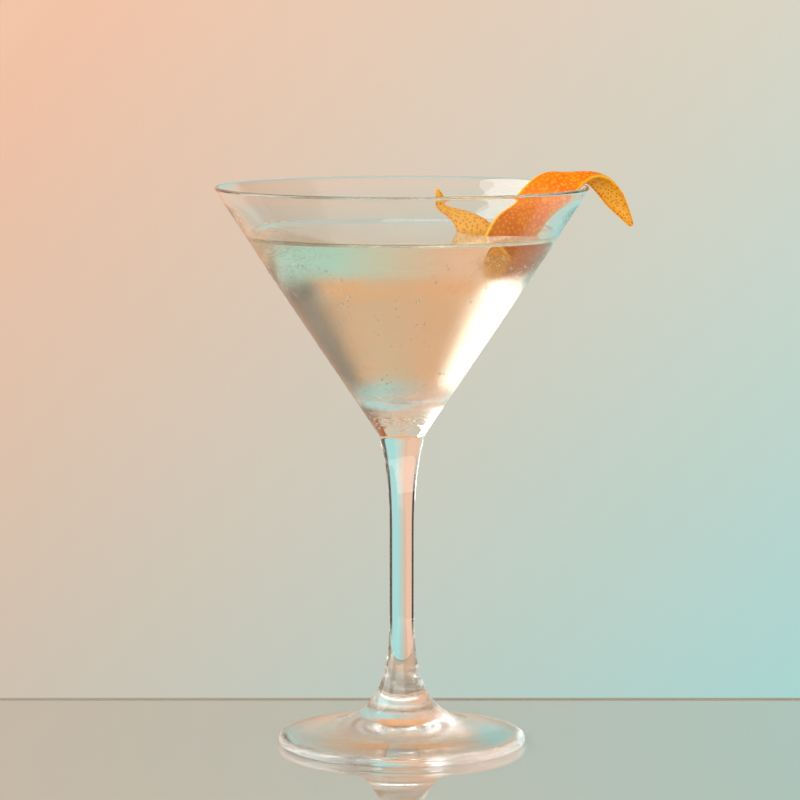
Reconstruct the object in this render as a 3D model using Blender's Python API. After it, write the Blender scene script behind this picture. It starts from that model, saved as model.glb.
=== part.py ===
"""Pale rum cocktail in a stemmed cone glass, garnished with a wound strip of orange peel.

Three solids, all standing on the plane z = 0 round the glass's own axis:
  glass         foot, stem and bowl, one piece of clear glass
  drink         the liquid up to its level, with the meniscus at the wall, cut round the peel
  orange_twist  one strip of peel that dips into the drink and hangs over the rim at +X
"""

import math

import bmesh
import bpy

MM = 0.001

# Glass: driving sizes.
GLASS_HEIGHT = 175.4 * MM
RIM_RADIUS = 58.0 * MM
FOOT_RADIUS = 38.9 * MM
STEM_RADIUS = 3.93 * MM
LIP_RADIUS = 0.65 * MM

# Bowl: a cone that starts at the collar above the stem and closes in a little towards the rim.
COLLAR_HEIGHT = 97.6 * MM
COLLAR_RADIUS = 7.15 * MM
BOWL_SLOPE = 0.67
BOWL_CLOSING = 0.75 * MM
BOWL_FLOOR_HEIGHT = 109.0 * MM
BOWL_FLOOR_ROUNDING = 25.2 * MM

# The lip is a low bead: a little below it the wall is thinner by LIP_BEAD.
LIP_BEAD = 0.22 * MM
LIP_BEAD_REACH = 4.5 * MM

# Stem: it swells up to the collar and flares out into the foot.
SWELL_START = 64.0 * MM
SWELL_END = 95.6 * MM
SWELL = 2.83 * MM
SWELL_POWER = 2.9
FILLET_TOP = 99.3 * MM
FLARE_START = 40.0 * MM
FOOT_EDGE_RADIUS = 1.5 * MM

# Drink.
DRINK_LEVEL = 160.0 * MM
MENISCUS_CLIMB = 1.0 * MM
MENISCUS_REACH = 2.6 * MM
GAP = 0.3 * MM

# Peel: the strip is wound round a level axis that runs out over the rim, along +X.
PEEL_THICKNESS = 1.3 * MM
PEEL_EDGE_ROUNDING = 0.35 * MM
WINDING_RADIUS = 12.0 * MM
WINDING_DEPTH = 7.5 * MM
WINDING_Y = 4.0 * MM
WINDING_HEIGHT = 168.1 * MM
WINDING_RISE = 12.2 * MM
WINDING_FLATTENING = 1.2 * MM
BODY_CURL = -0.09
TAIL_CURL = 0.39
CURL_CHANGE = (math.radians(40), math.radians(130))
# Turn about the winding axis (0 faces -Y, 90 is the top), place along it in mm, half width in mm.
PEEL_STATIONS = (
    (-209, 10.9, 0.5),
    (-186, 13.0, 1.9),
    (-160, 19.4, 3.7),
    (-125, 24.8, 6.4),
    (-80, 29.4, 7.0),
    (-35, 34.2, 7.0),
    (0, 39.9, 6.5),
    (45, 48.2, 6.9),
    (90, 56.7, 4.9),
    (130, 61.8, 3.7),
    (165, 66.2, 3.2),
    (190, 69.7, 1.8),
    (207, 72.0, 0.6),
)

# Facets.
TURN_STEPS = 48
BEAD_STEPS = 4
PEEL_STEPS = 84
PEEL_COLUMNS = 6


def clear_scene():
    """Remove what a new file holds."""
    for thing in list(bpy.data.objects):
        bpy.data.objects.remove(thing)


def material(name, colour, roughness, transmission=0.0):
    """A Principled material; colour is linear."""
    made = bpy.data.materials.new(name)
    made.use_nodes = True
    shader = made.node_tree.nodes["Principled BSDF"]
    shader.inputs["Base Color"].default_value = (*colour, 1.0)
    shader.inputs["Roughness"].default_value = roughness
    shader.inputs["Metallic"].default_value = 0.0
    shader.inputs["Transmission Weight"].default_value = transmission
    return made


# ---------------------------------------------------------------- outlines, as (radius, height)


def arc(centre, radius, start, end, steps):
    """Points of an arc, angles in degrees from +X."""
    points = []
    for i in range(steps + 1):
        angle = math.radians(start + (end - start) * i / steps)
        points.append((centre[0] + radius * math.cos(angle), centre[1] + radius * math.sin(angle)))
    return points


def bezier(a, b, c, d, steps):
    """Points of a cubic Bezier curve, its last one included and its first left out."""
    points = []
    for i in range(1, steps + 1):
        t = i / steps
        weights = ((1 - t) ** 3, 3 * (1 - t) ** 2 * t, 3 * (1 - t) * t**2, t**3)
        points.append(tuple(sum(w * p[k] for w, p in zip(weights, (a, b, c, d))) for k in range(2)))
    return points


def bowl_radius(height):
    """Outside radius of the bowl at a height."""
    above = height - COLLAR_HEIGHT
    share = above / (GLASS_HEIGHT - COLLAR_HEIGHT)
    return COLLAR_RADIUS + BOWL_SLOPE * above - BOWL_CLOSING * share**4


def stem_radius(height):
    """Radius of the stem where it swells up to the collar."""
    share = max(0.0, (height - SWELL_START) / (SWELL_END - SWELL_START))
    return STEM_RADIUS + SWELL * share**SWELL_POWER


def bowl_inside():
    """(half angle of the inside cone, centre height of its rounded floor, foot of the cone's straight)."""
    lip = (RIM_RADIUS - LIP_RADIUS, GLASS_HEIGHT - LIP_RADIUS)
    centre = BOWL_FLOOR_HEIGHT + BOWL_FLOOR_ROUNDING
    # The wall's inner line runs LIP_RADIUS inside the lip's centre and touches the floor's sphere.
    away = math.hypot(lip[0], lip[1] - centre)
    half_angle = math.atan2(lip[0], lip[1] - centre) - math.asin((BOWL_FLOOR_ROUNDING + LIP_RADIUS) / away)
    return half_angle, centre


def inside_outline(inset, floor_steps):
    """The bowl's inside from the axis up to the end of its rounded floor, moved in from the wall by inset."""
    half_angle, centre = bowl_inside()
    return arc((0.0, centre), BOWL_FLOOR_ROUNDING - inset, -90, -math.degrees(half_angle), floor_steps)


def thinning(height):
    """How far the inside stands back below the lip's bead: nothing at the lip, most at LIP_BEAD_REACH."""
    share = max(0.0, (GLASS_HEIGHT - LIP_RADIUS - height) / LIP_BEAD_REACH)
    return LIP_BEAD * share**2 * math.exp(2 - 2 * share)


def inside_radius(height, inset=0.0):
    """Inside radius of the bowl's wall at a height, above its rounded floor."""
    half_angle, centre = bowl_inside()
    cone = (BOWL_FLOOR_ROUNDING - inset) / math.cos(half_angle) + (height - centre) * math.tan(half_angle)
    return cone + thinning(height)


def glass_outline():
    """From the floor of the bowl up its inside, over the lip, and down the outside to the foot's underside."""
    half_angle = math.degrees(bowl_inside()[0])
    outer_angle = math.degrees(math.atan(BOWL_SLOPE))
    lip_centre = (RIM_RADIUS - LIP_RADIUS, GLASS_HEIGHT - LIP_RADIUS)
    points = inside_outline(0.0, 7)
    for i in range(BEAD_STEPS, 0, -1):
        height = lip_centre[1] - LIP_BEAD_REACH * 0.6 * i
        points.append((inside_radius(height), height))
    points += arc(lip_centre, LIP_RADIUS, 180 - half_angle, -outer_angle, 5)
    bowl_steps = 7
    start = points[-1][1] - LIP_RADIUS
    for i in range(bowl_steps + 1):
        height = start + (FILLET_TOP - start) * i / bowl_steps
        points.append((bowl_radius(height), height))
    corner = (bowl_radius(COLLAR_HEIGHT), COLLAR_HEIGHT)
    swell_top = (stem_radius(SWELL_END), SWELL_END)
    points += bezier(points[-1], corner, corner, swell_top, 3)
    swell_steps = 7
    for i in range(1, swell_steps + 1):
        height = SWELL_END + (SWELL_START - SWELL_END) * i / swell_steps
        points.append((stem_radius(height), height))
    edge_centre = (FOOT_RADIUS - FOOT_EDGE_RADIUS, FOOT_EDGE_RADIUS)
    flare_start = (STEM_RADIUS, FLARE_START)
    flare_end = (edge_centre[0], 2 * FOOT_EDGE_RADIUS)
    points.append(flare_start)
    points += bezier(flare_start, (STEM_RADIUS, 12 * MM), (12 * MM, 5.9 * MM), flare_end, 13)
    points += arc(edge_centre, FOOT_EDGE_RADIUS, 90, -90, 5)[1:]
    points.append((0.0, 0.0))
    return points


def drink_outline():
    """From the middle of the surface out to the meniscus, and down the wall to the axis."""
    wall = inside_radius(DRINK_LEVEL + MENISCUS_CLIMB, GAP)
    points = [(0.0, DRINK_LEVEL)]
    steps = 4
    for i in range(steps + 1):
        share = i / steps
        points.append((wall - MENISCUS_REACH * (1 - share), DRINK_LEVEL + MENISCUS_CLIMB * share**3))
    return points + inside_outline(GAP, 6)[::-1]


def turned(name, outline, finish):
    """A solid of revolution about Z from an outline that starts and ends on the axis."""
    mesh = bpy.data.meshes.new(name)
    corners = [(radius, 0.0, height) for radius, height in outline]
    corners[0] = (0.0, 0.0, outline[0][1])
    corners[-1] = (0.0, 0.0, outline[-1][1])
    mesh.from_pydata(corners, [(i, i + 1) for i in range(len(corners) - 1)], [])
    piece = bpy.data.objects.new(name, mesh)
    bpy.context.scene.collection.objects.link(piece)
    mesh.materials.append(finish)
    screw = piece.modifiers.new("turn", "SCREW")
    screw.axis = "Z"
    screw.angle = 2 * math.pi
    screw.steps = screw.render_steps = TURN_STEPS
    screw.use_merge_vertices = True
    screw.merge_threshold = 0.01 * MM
    screw.use_smooth_shade = True
    return piece


# ---------------------------------------------------------------- peel


def through_stations(column, place):
    """A Catmull-Rom curve through one column of the stations; place runs from 0 to their count less one."""
    values = [station[column] for station in PEEL_STATIONS]
    values = [2 * values[0] - values[1], *values, 2 * values[-1] - values[-2]]
    i = min(int(place), len(PEEL_STATIONS) - 2)
    t = place - i
    a, b, c, d = values[i : i + 4]
    return 0.5 * (2 * b + (c - a) * t + (2 * a - 5 * b + 4 * c - d) * t**2 + (3 * b - a - 3 * c + d) * t**3)


def wound(along, turn):
    """The point of the winding surface at a place along its axis and a turn about it."""
    rise = math.sin(turn)
    height = WINDING_HEIGHT + WINDING_RISE * rise - WINDING_FLATTENING * rise**2
    return (along, WINDING_Y - WINDING_DEPTH * math.cos(turn), height)


def curl_at(turn):
    """How far the strip's edges bend inwards, as a share of its half width."""
    share = min(max((turn - CURL_CHANGE[0]) / (CURL_CHANGE[1] - CURL_CHANGE[0]), 0.0), 1.0)
    return BODY_CURL + (TAIL_CURL - BODY_CURL) * share**2 * (3 - 2 * share)


def peel_point(place, side, margin):
    """A point of the strip's middle surface: side is -1 to 1 across it, margin widens it."""
    near = 1e-3
    turn = math.radians(through_stations(0, place))
    along = through_stations(1, place) * MM
    half_width = through_stations(2, place) * MM
    # The strip is flat when unrolled, so its width is square to its run there.
    run_along = (through_stations(1, place + near) - through_stations(1, place - near)) * MM
    run_turn = math.radians(through_stations(0, place + near) - through_stations(0, place - near))
    length = math.hypot(run_along, run_turn * WINDING_RADIUS)
    across = (half_width + margin) * side
    point_along = along - across * run_turn * WINDING_RADIUS / length
    point_turn = turn + across * run_along / length / WINDING_RADIUS
    x, y, z = wound(point_along, point_turn)
    # Curl: the edges move along the winding surface's own normal.
    normal_y, normal_z = -math.cos(point_turn) / WINDING_DEPTH, math.sin(point_turn) / WINDING_RISE
    size = math.hypot(normal_y, normal_z)
    inward = curl_at(turn) * half_width * side**2
    return (x, y - inward * normal_y / size, z - inward * normal_z / size)


def peel_sheet(name, margin):
    """The strip's middle surface as a grid of faces."""
    grid = bmesh.new()
    last = len(PEEL_STATIONS) - 1
    rows = []
    for i in range(PEEL_STEPS + 1):
        place = last * i / PEEL_STEPS
        rows.append(
            [
                grid.verts.new(peel_point(place, 2 * j / PEEL_COLUMNS - 1, margin))
                for j in range(PEEL_COLUMNS + 1)
            ]
        )
    for row, following in zip(rows, rows[1:]):
        for j in range(PEEL_COLUMNS):
            grid.faces.new((row[j], row[j + 1], following[j + 1], following[j]))
    mesh = bpy.data.meshes.new(name)
    grid.to_mesh(mesh)
    grid.free()
    mesh.shade_smooth()
    return mesh


def thickened(name, margin, thickness):
    """A closed strip of the given thickness round its middle surface."""
    strip = bpy.data.objects.new(name, peel_sheet(name, margin))
    bpy.context.scene.collection.objects.link(strip)
    solidify = strip.modifiers.new("thickness", "SOLIDIFY")
    solidify.thickness = thickness
    solidify.offset = 0.0
    return strip


def orange_twist(finish):
    """The strip of peel, with its cut edges eased."""
    strip = thickened("orange_twist", 0.0, PEEL_THICKNESS)
    strip.data.materials.append(finish)
    bevel = strip.modifiers.new("eased_edges", "BEVEL")
    bevel.width = PEEL_EDGE_ROUNDING
    bevel.segments = 1
    bevel.limit_method = "ANGLE"
    bevel.angle_limit = math.radians(50)
    return strip


def drink(finish):
    """The liquid, with room for the peel where the strip dips into it."""
    liquid = turned("drink", drink_outline(), finish)
    room = thickened("room_for_peel", GAP, PEEL_THICKNESS + 2 * GAP)
    room.hide_render = True
    room.display_type = "WIRE"
    cut = liquid.modifiers.new("room_for_peel", "BOOLEAN")
    cut.operation = "DIFFERENCE"
    cut.object = room
    cut.solver = "EXACT"
    return liquid


def main():
    clear_scene()
    turned("glass", glass_outline(), material("clear_glass", (0.93, 0.96, 0.95), 0.02, 1.0))
    drink(material("pale_rum_drink", (0.80, 0.62, 0.36), 0.05, 1.0))
    orange_twist(material("orange_peel", (0.90, 0.26, 0.01), 0.45))


main()
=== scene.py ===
"""Looks of a pale rum cocktail: a cold stemmed cone glass with a wound strip of orange peel over its rim.

The pieces stand where the frame's solids stand. They repeat its outlines with finer steps, and add what
the solids leave out: the meniscus, the mist and beads of condensation, the glands of the rind and its
cut edges. Lengths are in metres, +Z is up, and the glass's axis is the Z axis.
"""

import logging
import math
from collections.abc import Callable
from dataclasses import dataclass
from enum import Enum

import bpy
import numpy as np
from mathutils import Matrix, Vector


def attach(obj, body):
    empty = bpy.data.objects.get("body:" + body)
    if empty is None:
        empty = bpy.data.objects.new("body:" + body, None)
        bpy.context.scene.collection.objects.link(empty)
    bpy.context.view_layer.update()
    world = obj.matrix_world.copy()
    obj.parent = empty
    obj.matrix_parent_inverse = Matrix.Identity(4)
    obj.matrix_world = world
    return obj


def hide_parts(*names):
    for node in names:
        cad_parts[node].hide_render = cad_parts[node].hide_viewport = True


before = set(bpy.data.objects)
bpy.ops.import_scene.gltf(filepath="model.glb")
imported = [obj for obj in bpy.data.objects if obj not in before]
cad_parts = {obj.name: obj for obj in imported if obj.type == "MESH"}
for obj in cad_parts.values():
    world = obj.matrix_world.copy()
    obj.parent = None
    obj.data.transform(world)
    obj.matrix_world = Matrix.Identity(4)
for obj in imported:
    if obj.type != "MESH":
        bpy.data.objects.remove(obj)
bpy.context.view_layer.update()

BODY = "root"
MM = 0.001
WHITE = (1.0, 1.0, 1.0, 1.0)

LOG = logging.getLogger("rum_cocktail")

Outline = list[tuple[float, float]]
Rgba = tuple[float, float, float, float]
Span = tuple[float, float]


class GlassSkin(Enum):
    """Which finish a stretch of the glass's surface has."""

    CLEAR = 0
    MISTED_BOWL = 1
    MISTED_FOOT = 2


class PeelSide(Enum):
    """Which finish a side of the peel has."""

    RIND = 0
    UNDERSIDE = 1


# ---------------------------------------------------------------- shared helpers


def linear(hex_colour: str) -> Rgba:
    """Turn an sRGB colour into the linear one that shaders take.

    Args:
        hex_colour: Six hex digits with a leading hash.

    Returns:
        Linear red, green and blue, and an alpha of 1.
    """
    channels = [int(hex_colour[i : i + 2], 16) / 255 for i in (1, 3, 5)]
    lit = [c / 12.92 if c <= 0.04045 else ((c + 0.055) / 1.055) ** 2.4 for c in channels]
    return (*lit, 1.0)


def add_node(
    tree: bpy.types.NodeTree,
    kind: str,
    settings: dict | None = None,
    links: dict | None = None,
) -> bpy.types.Node:
    """Add a node with its settings and what feeds it.

    Args:
        tree: The tree that takes the node.
        kind: Blender's name for the node's type.
        settings: Values by property name, or by input name or number.
        links: Output sockets by the input name or number that they feed.

    Returns:
        The new node.
    """
    node = tree.nodes.new(kind)
    for key, value in (settings or {}).items():
        if isinstance(key, str) and hasattr(node, key):
            setattr(node, key, value)
        else:
            node.inputs[key].default_value = value
    for key, socket in (links or {}).items():
        tree.links.new(socket, node.inputs[key])
    return node


def in_degrees(start: float, end: float, first: float = 0.0, last: float = 1.0) -> dict:
    """Give the settings that map an angle between start and end, in degrees here, to first and last."""
    return {
        "From Min": math.radians(start),
        "From Max": math.radians(end),
        "To Min": first,
        "To Max": last,
    }


def new_finish(name: str, values: dict) -> bpy.types.Material:
    """Make a material and set its shader's plain values.

    Args:
        name: The material's name.
        values: Values by the shader's input name.

    Returns:
        The new material.
    """
    made = bpy.data.materials.new(name)
    made.use_nodes = True
    shader = made.node_tree.nodes["Principled BSDF"]
    for key, value in values.items():
        shader.inputs[key].default_value = value
    return made


def arc(centre: tuple[float, float], radius: float, start: float, end: float, steps: int) -> Outline:
    """List the points of an arc.

    Args:
        centre: Radius from the axis and height of its centre.
        radius: Its own radius.
        start: First angle in degrees, 0 pointing away from the axis.
        end: Last angle in degrees.
        steps: How many chords it has.

    Returns:
        Its points, both ends included.
    """
    angles = [math.radians(start + (end - start) * i / steps) for i in range(steps + 1)]
    return [(centre[0] + radius * math.cos(a), centre[1] + radius * math.sin(a)) for a in angles]


def bezier(corners: Outline, steps: int) -> Outline:
    """List the points of a cubic Bezier curve, without its first.

    Args:
        corners: Its start, two handles and end.
        steps: How many chords it has.

    Returns:
        Its points after the start.
    """
    points = []
    for i in range(1, steps + 1):
        t = i / steps
        weights = ((1 - t) ** 3, 3 * (1 - t) ** 2 * t, 3 * (1 - t) * t**2, t**3)
        points.append(tuple(sum(w * c[k] for w, c in zip(weights, corners)) for k in range(2)))
    return points


def new_piece(
    name: str,
    points: np.ndarray,
    faces: list,
    finishes: list[bpy.types.Material],
) -> bpy.types.Object:
    """Make a smooth mesh piece that rides on the glass's body.

    Args:
        name: The piece's name.
        points: Its vertices, one row each.
        faces: Its faces as lists of vertex numbers.
        finishes: Its materials, in slot order.

    Returns:
        The new object.
    """
    mesh = bpy.data.meshes.new(name)
    mesh.from_pydata(points.tolist(), [], faces)
    mesh.shade_smooth()
    for finish in finishes:
        mesh.materials.append(finish)
    piece = bpy.data.objects.new(name, mesh)
    bpy.context.scene.collection.objects.link(piece)
    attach(piece, BODY)
    LOG.info("%s: %d faces", name, len(mesh.polygons))
    return piece


def turned(
    name: str,
    outline: Outline,
    finishes: list[bpy.types.Material],
    steps: int = 224,
) -> bpy.types.Object:
    """Turn an outline that starts and ends on the axis into a closed piece.

    Args:
        name: The piece's name.
        outline: Radius and height of each point, the inside or top first.
        finishes: Its materials, in slot order.
        steps: How many facets go round.

    Returns:
        The new object.
    """
    angles = np.linspace(0, 2 * math.pi, steps, endpoint=False)
    rings = [
        np.column_stack((r * np.cos(angles), r * np.sin(angles), np.full(steps, z)))
        for r, z in outline[1:-1]
    ]
    points = np.vstack(rings + [[[0, 0, outline[0][1]]], [[0, 0, outline[-1][1]]]])
    first_pole, last_pole = len(points) - 2, len(points) - 1
    last_ring = (len(rings) - 1) * steps
    faces = []
    for k in range(steps):
        following = (k + 1) % steps
        faces.append((first_pole, k, following))
        faces.append((last_ring + k, last_pole, last_ring + following))
    for ring in range(len(rings) - 1):
        upper, lower = ring * steps, (ring + 1) * steps
        for k in range(steps):
            following = (k + 1) % steps
            faces.append((upper + k, lower + k, lower + following, upper + following))
    return new_piece(name, points, faces, finishes)


# ---------------------------------------------------------------- finishes


@dataclass(frozen=True)
class ClearGlass:
    """Soda-lime glass, blown bowl and drawn stem: clear, with a fire-polished skin and sharp glints."""

    colour: str = "#FBFDFC"
    ior: float = 1.5

    def values(self) -> dict:
        """The shader's values for the bare glass."""
        return {
            "Base Color": linear(self.colour),
            "Roughness": 0.0,
            "IOR": self.ior,
            "Transmission Weight": 1.0,
        }

    def material(self) -> bpy.types.Material:
        """Make the material."""
        return new_finish("clear_soda_lime_glass", self.values())


@dataclass(frozen=True)
class MistedGlass:
    """The same glass under a film of condensation: fine beads that blur and scatter what is behind."""

    name: str
    skin: GlassSkin
    roughness: float
    bead_height: float
    # The mist's two edges, as heights on the bowl or radii on the foot, and half of each one's fade.
    edges: tuple[float, float]
    fades: tuple[float, float]
    # How far the upper edge climbs for each metre towards the peel.
    lean: float = 0.0
    wander: float = 4.0 * MM
    wander_length: float = 9 * MM
    patch_size: float = 3.5 * MM
    thinnest: float = 0.85
    thickest: float = 1.1
    # Real mist is finer than this; its beads are as coarse as they need to be to show.
    bead_spacing: float = 0.34 * MM
    drop_spacing: float = 0.55 * MM
    drop_height: float = 0.045 * MM

    def cover(self, tree: bpy.types.NodeTree, place: bpy.types.NodeSocket) -> bpy.types.NodeSocket:
        """Work out how much of the surface is misted: 1 inside the patch, 0 beyond its wandering edges.

        Args:
            tree: The material's tree.
            place: Coordinates on the glass.

        Returns:
            The share from 0 to 1.
        """
        parts = add_node(tree, "ShaderNodeSeparateXYZ", links={0: place})
        noise = add_node(
            tree,
            "ShaderNodeTexNoise",
            {"Scale": 1 / self.wander_length, "Detail": 6.0, "Roughness": 0.75},
            {"Vector": place},
        )
        if self.skin is GlassSkin.MISTED_BOWL:
            peel_side = {"operation": "MAXIMUM", 1: 0.0}
            beside = add_node(tree, "ShaderNodeMath", peel_side, {0: parts.outputs["X"]}).outputs[0]
            lean = {"operation": "MULTIPLY_ADD", 1: -self.lean}
            measure = add_node(tree, "ShaderNodeMath", lean, {0: beside, 2: parts.outputs["Z"]}).outputs[0]
        else:
            level = {0: parts.outputs["X"], 1: parts.outputs["Y"]}
            flat = add_node(tree, "ShaderNodeCombineXYZ", links=level)
            length = {"operation": "LENGTH"}
            measure = add_node(tree, "ShaderNodeVectorMath", length, {0: flat.outputs[0]}).outputs["Value"]
        shifted = add_node(
            tree,
            "ShaderNodeMath",
            {"operation": "MULTIPLY_ADD", 1: 2 * self.wander},
            {0: noise.outputs["Fac"], 2: measure},
        )
        shares = [
            add_node(
                tree,
                "ShaderNodeMapRange",
                {
                    "interpolation_type": "SMOOTHSTEP",
                    "From Min": edge + self.wander - side * fade,
                    "From Max": edge + self.wander + side * fade,
                },
                {"Value": shifted.outputs[0]},
            )
            for edge, fade, side in zip(self.edges, self.fades, (1, -1))
        ]
        both = {0: shares[0].outputs[0], 1: shares[1].outputs[0]}
        return add_node(tree, "ShaderNodeMath", {"operation": "MULTIPLY"}, both).outputs[0]

    def material(self) -> bpy.types.Material:
        """Make the material: rough and beaded where the mist is, bare glass elsewhere."""
        made = new_finish(self.name, ClearGlass().values())
        tree = made.node_tree
        shader = tree.nodes["Principled BSDF"]
        place = add_node(tree, "ShaderNodeTexCoord").outputs["Object"]
        patches = add_node(
            tree,
            "ShaderNodeTexNoise",
            {"Scale": 1 / self.patch_size, "Detail": 3.0, "Roughness": 0.6},
            {"Vector": place},
        )
        density = add_node(
            tree,
            "ShaderNodeMapRange",
            {"From Min": 0.3, "From Max": 0.7, "To Min": self.thinnest, "To Max": self.thickest},
            {"Value": patches.outputs["Fac"]},
        )
        cover = self.cover(tree, place)
        amount = add_node(
            tree,
            "ShaderNodeMath",
            {"operation": "MULTIPLY"},
            {0: cover, 1: density.outputs[0]},
        )
        rough = add_node(
            tree,
            "ShaderNodeMath",
            {"operation": "MULTIPLY", 1: self.roughness},
            {0: amount.outputs[0]},
        )
        beads = add_node(
            tree,
            "ShaderNodeTexVoronoi",
            {"feature": "SMOOTH_F1", "Scale": 1 / self.bead_spacing, "Smoothness": 0.3},
            {"Vector": place},
        )
        domes = add_node(
            tree,
            "ShaderNodeMath",
            {"operation": "SUBTRACT", 0: 1.0},
            {1: beads.outputs["Distance"]},
        )
        bump = add_node(
            tree,
            "ShaderNodeBump",
            {"Distance": self.bead_height},
            {"Height": domes.outputs[0], "Strength": amount.outputs[0]},
        )
        drops = self.edge_drops(tree, place, cover, bump.outputs[0])
        tree.links.new(rough.outputs[0], shader.inputs["Roughness"])
        tree.links.new(drops, shader.inputs["Normal"])
        return made

    def edge_drops(
        self,
        tree: bpy.types.NodeTree,
        place: bpy.types.NodeSocket,
        cover: bpy.types.NodeSocket,
        normal: bpy.types.NodeSocket,
    ) -> bpy.types.NodeSocket:
        """Raise coarser drops where the mist thins out, as they gather along its edge.

        Args:
            tree: The material's tree.
            place: Coordinates on the glass.
            cover: How much of the surface is misted.
            normal: The normal under the drops.

        Returns:
            The normal with the drops.
        """
        cells = add_node(
            tree,
            "ShaderNodeTexVoronoi",
            {"feature": "F1", "Scale": 1 / self.drop_spacing},
            {"Vector": place},
        )
        domes = add_node(
            tree,
            "ShaderNodeMapRange",
            {"interpolation_type": "SMOOTHSTEP", "From Min": 0.5, "From Max": 0.1},
            {"Value": cells.outputs["Distance"]},
        )
        bare = add_node(tree, "ShaderNodeMath", {"operation": "SUBTRACT", 0: 1.0}, {1: cover})
        thin = add_node(tree, "ShaderNodeMath", {"operation": "MULTIPLY"}, {0: cover, 1: bare.outputs[0]})
        strength = add_node(
            tree,
            "ShaderNodeMath",
            {"operation": "MULTIPLY", 1: 4.0, "use_clamp": True},
            {0: thin.outputs[0]},
        )
        raised = add_node(
            tree,
            "ShaderNodeBump",
            {"Distance": self.drop_height},
            {"Height": domes.outputs[0], "Strength": strength.outputs[0], "Normal": normal},
        )
        return raised.outputs[0]


@dataclass(frozen=True)
class PaleRum:
    """A clear mixed drink of aged white rum: pale gold, deeper where there is more of it to see through."""

    ior: float = 1.355
    absorbed: str = "#FAD450"
    density: float = 4.2

    def material(self) -> bpy.types.Material:
        """Make the material."""
        values = {"Base Color": WHITE, "Roughness": 0.0, "IOR": self.ior, "Transmission Weight": 1.0}
        made = new_finish("pale_gold_drink", values)
        tree = made.node_tree
        tint = add_node(
            tree,
            "ShaderNodeVolumeAbsorption",
            {"Color": linear(self.absorbed), "Density": self.density},
        )
        tree.links.new(tint.outputs[0], tree.nodes["Material Output"].inputs["Volume"])
        return made


@dataclass(frozen=True)
class Water:
    """Condensed water in beads: clear, with a sharp glint on each."""

    ior: float = 1.333

    def material(self) -> bpy.types.Material:
        """Make the material."""
        values = {"Base Color": WHITE, "Roughness": 0.0, "IOR": self.ior, "Transmission Weight": 1.0}
        return new_finish("condensed_water", values)


@dataclass(frozen=True)
class OrangeRind:
    """The outer skin of an orange: waxy and saturated, with lighter flecks over the oil glands, partly
    their paler tone and partly painted glints of light.

    The peel is thin and lets some light through, which the subsurface stands for. It also glows in its own
    colour: painted light that brightens the rind where the glass keeps light off it.
    """

    deep: str = "#E26A00"
    bright: str = "#EC8000"
    # Colour of the rind's flecks: partly the glands' paler tone, partly painted highlight glints.
    gland: str = "#FFB430"
    cut: str = "#FFC832"
    roughness: float = 0.42
    ior: float = 1.3
    coat: float = 0.05
    # Painted light: how strongly the rind glows in its own colour.
    painted_glow: float = 0.26
    light_reach: float = 1.0 * MM
    blotch_size: float = 6 * MM
    grain_size: float = 0.5 * MM
    grain_depth: float = 0.05 * MM

    def material(self) -> bpy.types.Material:
        """Make the material from the strip's own gland and edge values; on the rind the gland values are
        flecks that are partly painted highlight glints.
        """
        values = {
            "Roughness": self.roughness,
            "IOR": self.ior,
            "Subsurface Weight": 0.25,
            "Subsurface Radius": (1.0, 0.45, 0.10),
            "Subsurface Scale": self.light_reach,
            "Coat Weight": self.coat,
            "Coat Roughness": 0.2,
            "Emission Strength": self.painted_glow,
        }
        made = new_finish("orange_rind", values)
        tree = made.node_tree
        shader = tree.nodes["Principled BSDF"]
        place = add_node(tree, "ShaderNodeTexCoord").outputs["Object"]
        blotches = add_node(
            tree,
            "ShaderNodeTexNoise",
            {"Scale": 1 / self.blotch_size, "Detail": 4.0},
            {"Vector": place},
        )
        spread = add_node(
            tree,
            "ShaderNodeMapRange",
            {"From Min": 0.35, "From Max": 0.65},
            {"Value": blotches.outputs["Fac"]},
        )
        skin = add_node(
            tree,
            "ShaderNodeMix",
            {"data_type": "RGBA", 6: linear(self.deep), 7: linear(self.bright)},
            {0: spread.outputs[0]},
        )
        # Flecks on the rind: partly the glands' paler tone, partly painted highlight glints.
        gland = add_node(tree, "ShaderNodeAttribute", {"attribute_name": "gland"})
        speckled = add_node(
            tree,
            "ShaderNodeMix",
            {"data_type": "RGBA", 7: linear(self.gland)},
            {0: gland.outputs["Fac"], 6: skin.outputs[2]},
        )
        edge = add_node(tree, "ShaderNodeAttribute", {"attribute_name": "cut_edge"})
        trimmed = add_node(
            tree,
            "ShaderNodeMix",
            {"data_type": "RGBA", 7: linear(self.cut)},
            {0: edge.outputs["Fac"], 6: speckled.outputs[2]},
        )
        grain = add_node(
            tree,
            "ShaderNodeTexNoise",
            {"Scale": 1 / self.grain_size, "Detail": 2.0},
            {"Vector": place},
        )
        bump = add_node(
            tree,
            "ShaderNodeBump",
            {"Strength": 0.5, "Distance": self.grain_depth},
            {"Height": grain.outputs["Fac"]},
        )
        tree.links.new(trimmed.outputs[2], shader.inputs["Base Color"])
        # Painted light: the rind glows in its base colour.
        tree.links.new(trimmed.outputs[2], shader.inputs["Emission Color"])
        tree.links.new(bump.outputs[0], shader.inputs["Normal"])
        return made


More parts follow.
